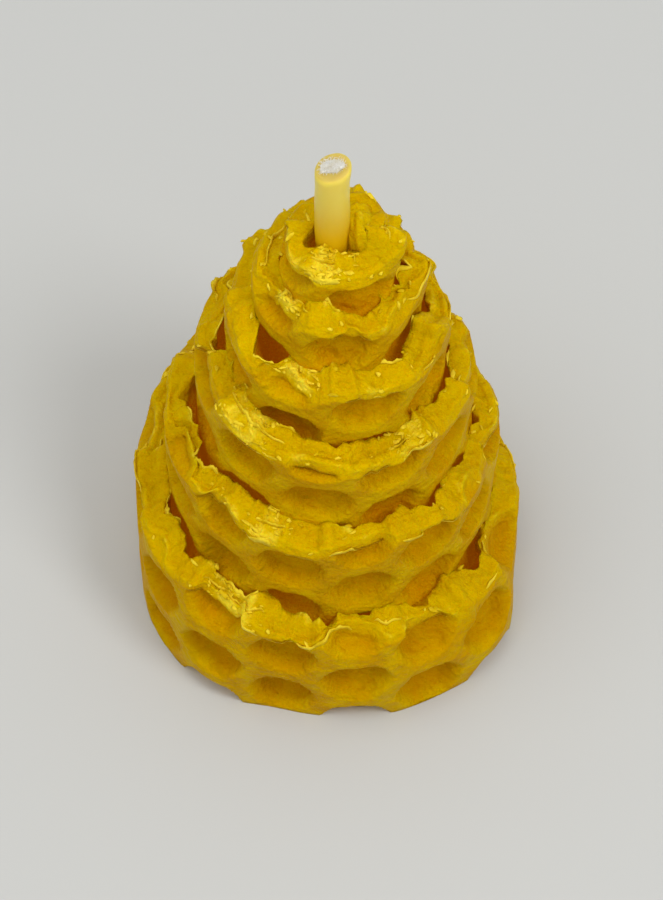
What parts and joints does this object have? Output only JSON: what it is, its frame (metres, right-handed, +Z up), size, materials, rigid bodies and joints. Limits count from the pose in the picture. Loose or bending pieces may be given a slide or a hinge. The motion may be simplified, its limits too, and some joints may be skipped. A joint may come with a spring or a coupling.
{
  "type": "rolled beeswax candle",
  "caption": "Small tapered candle rolled from one diagonally cut strip of honeycomb-pattern wax foundation around a waxed, braided cotton wick.",
  "frame": {"origin": "centre of the candle's base, on the surface that it stands on", "axes": "+Z up along the wick; the strip starts at the wick on the +X side and winds counter-clockwise seen from above"},
  "size_m": [0.0258, 0.026, 0.0484],
  "materials": {
    "foundation_beeswax": "soft satin beeswax, deep golden yellow, with a pale bloom on the cut edges",
    "wick_wax": "translucent pale yellow wax, smooth, satin",
    "wick_cotton": "matte off-white cotton, stiffened by wax"
  },
  "bodies": {
    "root": {"foundation_sheet": "foundation_beeswax", "wick_wax_coat": "wick_wax", "wick_strand_1": "wick_cotton", "wick_strand_2": "wick_cotton", "wick_strand_3": "wick_cotton"}
  },
  "joints": []
}
